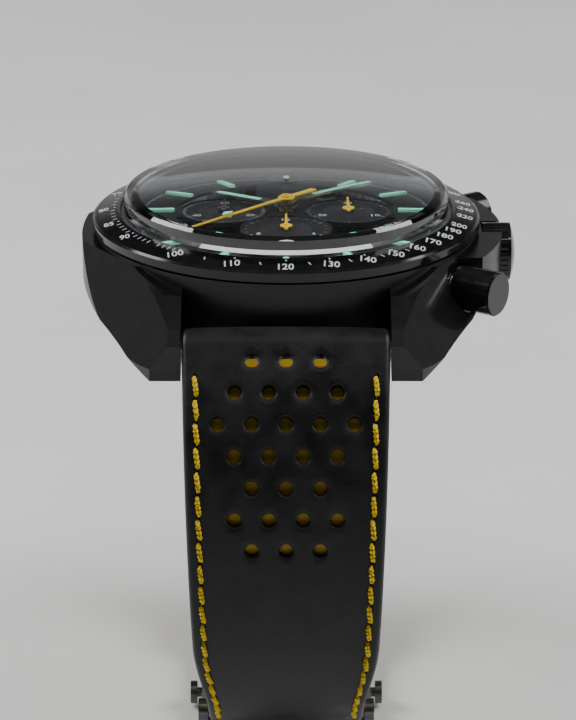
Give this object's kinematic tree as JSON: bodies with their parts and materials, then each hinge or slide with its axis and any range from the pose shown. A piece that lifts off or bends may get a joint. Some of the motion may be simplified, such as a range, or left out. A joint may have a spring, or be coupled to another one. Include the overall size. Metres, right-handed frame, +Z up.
{
  "type": "chronograph wristwatch",
  "caption": "Chronograph wristwatch with ceramic case, sub-dials, pushers, mechanical movement and perforated leather strap with foldover clasp.",
  "frame": {"origin": "on the flat rest face of the closed clasp's cover, on the axis of the dial", "axes": "+Z up out of the crystal along the dial's axis, +X towards 3 o'clock and the crown, +Y towards 12 o'clock"},
  "size_m": [0.047, 0.0656, 0.0618],
  "materials": {
    "black_ceramic": "polished and brushed black ceramic",
    "ring_ceramic": "polished black ceramic ring",
    "sapphire": "clear sapphire",
    "gasket_rubber": "black rubber",
    "dial_black": "black lacquered dial",
    "lume_green": "mint-green luminous blocks",
    "case_back_ceramic": "black ceramic with fine lathe brushing",
    "movement_grey": "grey plated and brushed plates",
    "steel": "polished steel",
    "gear_brass": "gilt brass",
    "blue_steel": "blued steel",
    "ruby": "synthetic ruby",
    "hand_steel": "rhodium hands with luminous inlays",
    "hand_yellow": "yellow lacquer",
    "hand_dark": "black lacquered hand",
    "strap_leather": "black smooth calf leather with perforations",
    "strap_rubber": "yellow rubber lining",
    "clasp_steel": "dark satin-brushed steel"
  },
  "bodies": {
    "case": {"case_middle": "black_ceramic", "bezel": "black_ceramic", "tachymeter_ring": "ring_ceramic", "crystal": "sapphire", "crystal_gasket": "gasket_rubber", "dial_flange": "dial_black", "dial_plate": "dial_black", "hour_indices": "lume_green", "caseback": "case_back_ceramic", "caseback_crystal": "sapphire", "caseback_gasket": "gasket_rubber", "movement_ring": "movement_grey", "case_tubes": "steel", "pusher_springs": "steel", "spring_bars": "steel", "main_plate": "movement_grey", "balance_cock": "movement_grey", "three_quarter_bridge": "movement_grey", "movement_screws": "blue_steel", "jewels": "ruby"},
    "barrel": {"barrel": "gear_brass"},
    "ratchet": {"ratchet_wheel": "steel"},
    "crown_wheel": {"crown_wheel": "steel"},
    "centre_wheel": {"centre_wheel": "gear_brass"},
    "third_wheel": {"third_wheel": "gear_brass"},
    "running_seconds": {"fourth_wheel": "gear_brass", "seconds_hand": "hand_dark"},
    "escape_wheel": {"escape_wheel": "steel"},
    "pallet_fork": {"pallet_fork": "steel"},
    "balance": {"balance_wheel": "gear_brass", "hairspring": "blue_steel"},
    "chronograph": {"chronograph_wheel": "gear_brass", "chronograph_hand": "hand_yellow"},
    "minute_recorder": {"minute_recorder": "gear_brass", "minute_counter_hand": "hand_yellow"},
    "hour_recorder": {"hour_recorder": "gear_brass", "hour_counter_hand": "hand_yellow"},
    "operating_lever": {"operating_lever": "steel"},
    "reset_hammer": {"reset_hammer": "steel"},
    "start_pusher": {"start_pusher": "black_ceramic"},
    "reset_pusher": {"reset_pusher": "black_ceramic"},
    "winding_pinion": {"winding_pinion": "steel"},
    "crown": {"crown": "black_ceramic", "winding_stem": "steel"},
    "minutes": {"cannon_pinion": "steel", "minute_hand": "hand_steel"},
    "minute_wheel": {"minute_wheel": "gear_brass"},
    "hours": {"hour_wheel": "gear_brass", "hour_hand": "hand_steel"},
    "strap_long": {"strap_long": "strap_leather", "strap_long_lining": "strap_rubber", "clasp_bar_6": "steel"},
    "strap_short": {"strap_short": "strap_leather", "strap_short_lining": "strap_rubber"},
    "inner_blade": {"clasp_inner_blade": "clasp_steel", "clasp_bar_12": "steel"},
    "middle_blade": {"clasp_middle_blade": "clasp_steel"},
    "clasp_cover": {"clasp_cover": "clasp_steel"},
    "button_left": {"clasp_button_left": "clasp_steel"},
    "button_right": {"clasp_button_right": "clasp_steel"}
  },
  "joints": [
    {"name": "seconds_run", "type": "hinge", "parent": "case", "child": "running_seconds", "pos_m": [-0.0068, 0, 0.052], "axis": [0, 0, -1], "continuous": true},
    {"name": "third_wheel_turn", "type": "hinge", "parent": "case", "child": "third_wheel", "pos_m": [-0.00382, -0.00337, 0.052], "axis": [0, 0, -1], "continuous": true},
    {"name": "centre_wheel_turn", "type": "hinge", "parent": "case", "child": "centre_wheel", "pos_m": [0, 0, 0.052], "axis": [0, 0, -1], "continuous": true},
    {"name": "barrel_turn", "type": "hinge", "parent": "case", "child": "barrel", "pos_m": [0.00273, 0.00614, 0.052], "axis": [0, 0, -1], "continuous": true},
    {"name": "escape_wheel_turn", "type": "hinge", "parent": "case", "child": "escape_wheel", "pos_m": [-0.0074, 0.00341, 0.052], "axis": [0, 0, -1], "continuous": true},
    {"name": "pallet_rock", "type": "hinge", "parent": "case", "child": "pallet_fork", "pos_m": [-0.0073, 0.00541, 0.0515], "axis": [0, 0, 1], "range_deg": [-7, 7]},
    {"name": "balance_swing", "type": "hinge", "parent": "case", "child": "balance", "pos_m": [-0.0072, 0.00721, 0.0508], "axis": [0, 0, 1], "range_deg": [-270, 270]},
    {"name": "hands_set", "type": "hinge", "parent": "case", "child": "minutes", "pos_m": [0, 0, 0.057], "axis": [0, 0, -1], "continuous": true},
    {"name": "minute_wheel_turn", "type": "hinge", "parent": "case", "child": "minute_wheel", "pos_m": [0, 0.0024, 0.0555], "axis": [0, 0, -1], "continuous": true},
    {"name": "hour_hand_turn", "type": "hinge", "parent": "case", "child": "hours", "pos_m": [0, 0, 0.0565], "axis": [0, 0, -1], "continuous": true},
    {"name": "chronograph_run", "type": "hinge", "parent": "case", "child": "chronograph", "pos_m": [0, 0, 0.053], "axis": [0, 0, -1], "continuous": true},
    {"name": "minute_counter_turn", "type": "hinge", "parent": "case", "child": "minute_recorder", "pos_m": [0.0068, 0, 0.053], "axis": [0, 0, -1], "continuous": true},
    {"name": "hour_counter_turn", "type": "hinge", "parent": "case", "child": "hour_recorder", "pos_m": [0, -0.0068, 0.053], "axis": [0, 0, -1], "continuous": true},
    {"name": "crown_wind", "type": "hinge", "parent": "case", "child": "winding_pinion", "pos_m": [0.0094, 0, 0.0536], "axis": [1, 0, 0], "continuous": true},
    {"name": "crown_pull", "type": "slide", "parent": "winding_pinion", "child": "crown", "axis": [1, 0, 0], "range_m": [0, 0.0009]},
    {"name": "crown_wheel_turn", "type": "hinge", "parent": "case", "child": "crown_wheel", "pos_m": [0.01028, 0.00161, 0.0502], "axis": [0, 0, -1], "continuous": true},
    {"name": "ratchet_turn", "type": "hinge", "parent": "case", "child": "ratchet", "pos_m": [0.00273, 0.00614, 0.0502], "axis": [0, 0, -1], "continuous": true},
    {"name": "start_push", "type": "slide", "parent": "case", "child": "start_pusher", "axis": [-0.832, -0.5548, 0], "range_m": [0, 0.0008], "stiffness_N_per_m": 500, "springref_m": -0.0004},
    {"name": "reset_push", "type": "slide", "parent": "case", "child": "reset_pusher", "axis": [-0.832, 0.5548, 0], "range_m": [0, 0.0008], "stiffness_N_per_m": 500, "springref_m": -0.0004},
    {"name": "operating_lever_turn", "type": "hinge", "parent": "case", "child": "operating_lever", "pos_m": [0.0104, 0.0044, 0.0515], "axis": [0, 0, 1], "range_deg": [0, 24]},
    {"name": "reset_hammer_turn", "type": "hinge", "parent": "case", "child": "reset_hammer", "pos_m": [0.0104, -0.0044, 0.0515], "axis": [0, 0, 1], "range_deg": [-24, 0]},
    {"name": "strap_short_swing", "type": "hinge", "parent": "case", "child": "strap_short", "pos_m": [0, 0.0231, 0.0506], "axis": [1, 0, 0], "range_deg": [0, 75]},
    {"name": "strap_long_swing", "type": "hinge", "parent": "case", "child": "strap_long", "pos_m": [0, -0.0231, 0.0506], "axis": [-1, 0, 0], "range_deg": [0, 75]},
    {"name": "inner_blade_tilt", "type": "hinge", "parent": "strap_short", "child": "inner_blade", "pos_m": [0, 0.0138, 0.00571], "axis": [1, 0, 0], "range_deg": [0, 30]},
    {"name": "middle_blade_open", "type": "hinge", "parent": "inner_blade", "child": "middle_blade", "pos_m": [0, -0.01029, 0.00412], "axis": [-1, 0, 0], "range_deg": [0, 110]},
    {"name": "clasp_cover_open", "type": "hinge", "parent": "middle_blade", "child": "clasp_cover", "pos_m": [0, 0.01059, 0.00307], "axis": [1, 0, 0], "range_deg": [0, 110]},
    {"name": "button_left_press", "type": "slide", "parent": "clasp_cover", "child": "button_left", "axis": [1, 0, 0], "range_m": [0, 0.0005], "stiffness_N_per_m": 200, "springref_m": -0.0004},
    {"name": "button_right_press", "type": "slide", "parent": "clasp_cover", "child": "button_right", "axis": [-1, 0, 0], "range_m": [0, 0.0005], "stiffness_N_per_m": 200, "springref_m": -0.0004}
  ],
  "couplings": [
    {"joint": "third_wheel_turn", "follows": "seconds_run", "ratio": -0.125},
    {"joint": "centre_wheel_turn", "follows": "seconds_run", "ratio": 0.016667},
    {"joint": "barrel_turn", "follows": "seconds_run", "ratio": -0.0027778},
    {"joint": "escape_wheel_turn", "follows": "seconds_run", "ratio": -10},
    {"joint": "minute_wheel_turn", "follows": "hands_set", "ratio": -0.33333},
    {"joint": "hour_hand_turn", "follows": "hands_set", "ratio": 0.083333},
    {"joint": "minute_counter_turn", "follows": "chronograph_run", "ratio": 0.033333},
    {"joint": "hour_counter_turn", "follows": "chronograph_run", "ratio": 0.0013889},
    {"joint": "crown_wheel_turn", "follows": "crown_wind", "ratio": 0.55556},
    {"joint": "ratchet_turn", "follows": "crown_wind", "ratio": -0.23297},
    {"joint": "operating_lever_turn", "follows": "start_push", "rad_per_m": 500},
    {"joint": "reset_hammer_turn", "follows": "reset_push", "rad_per_m": -500},
    {"joint": "clasp_cover_open", "follows": "middle_blade_open", "ratio": 1}
  ]
}
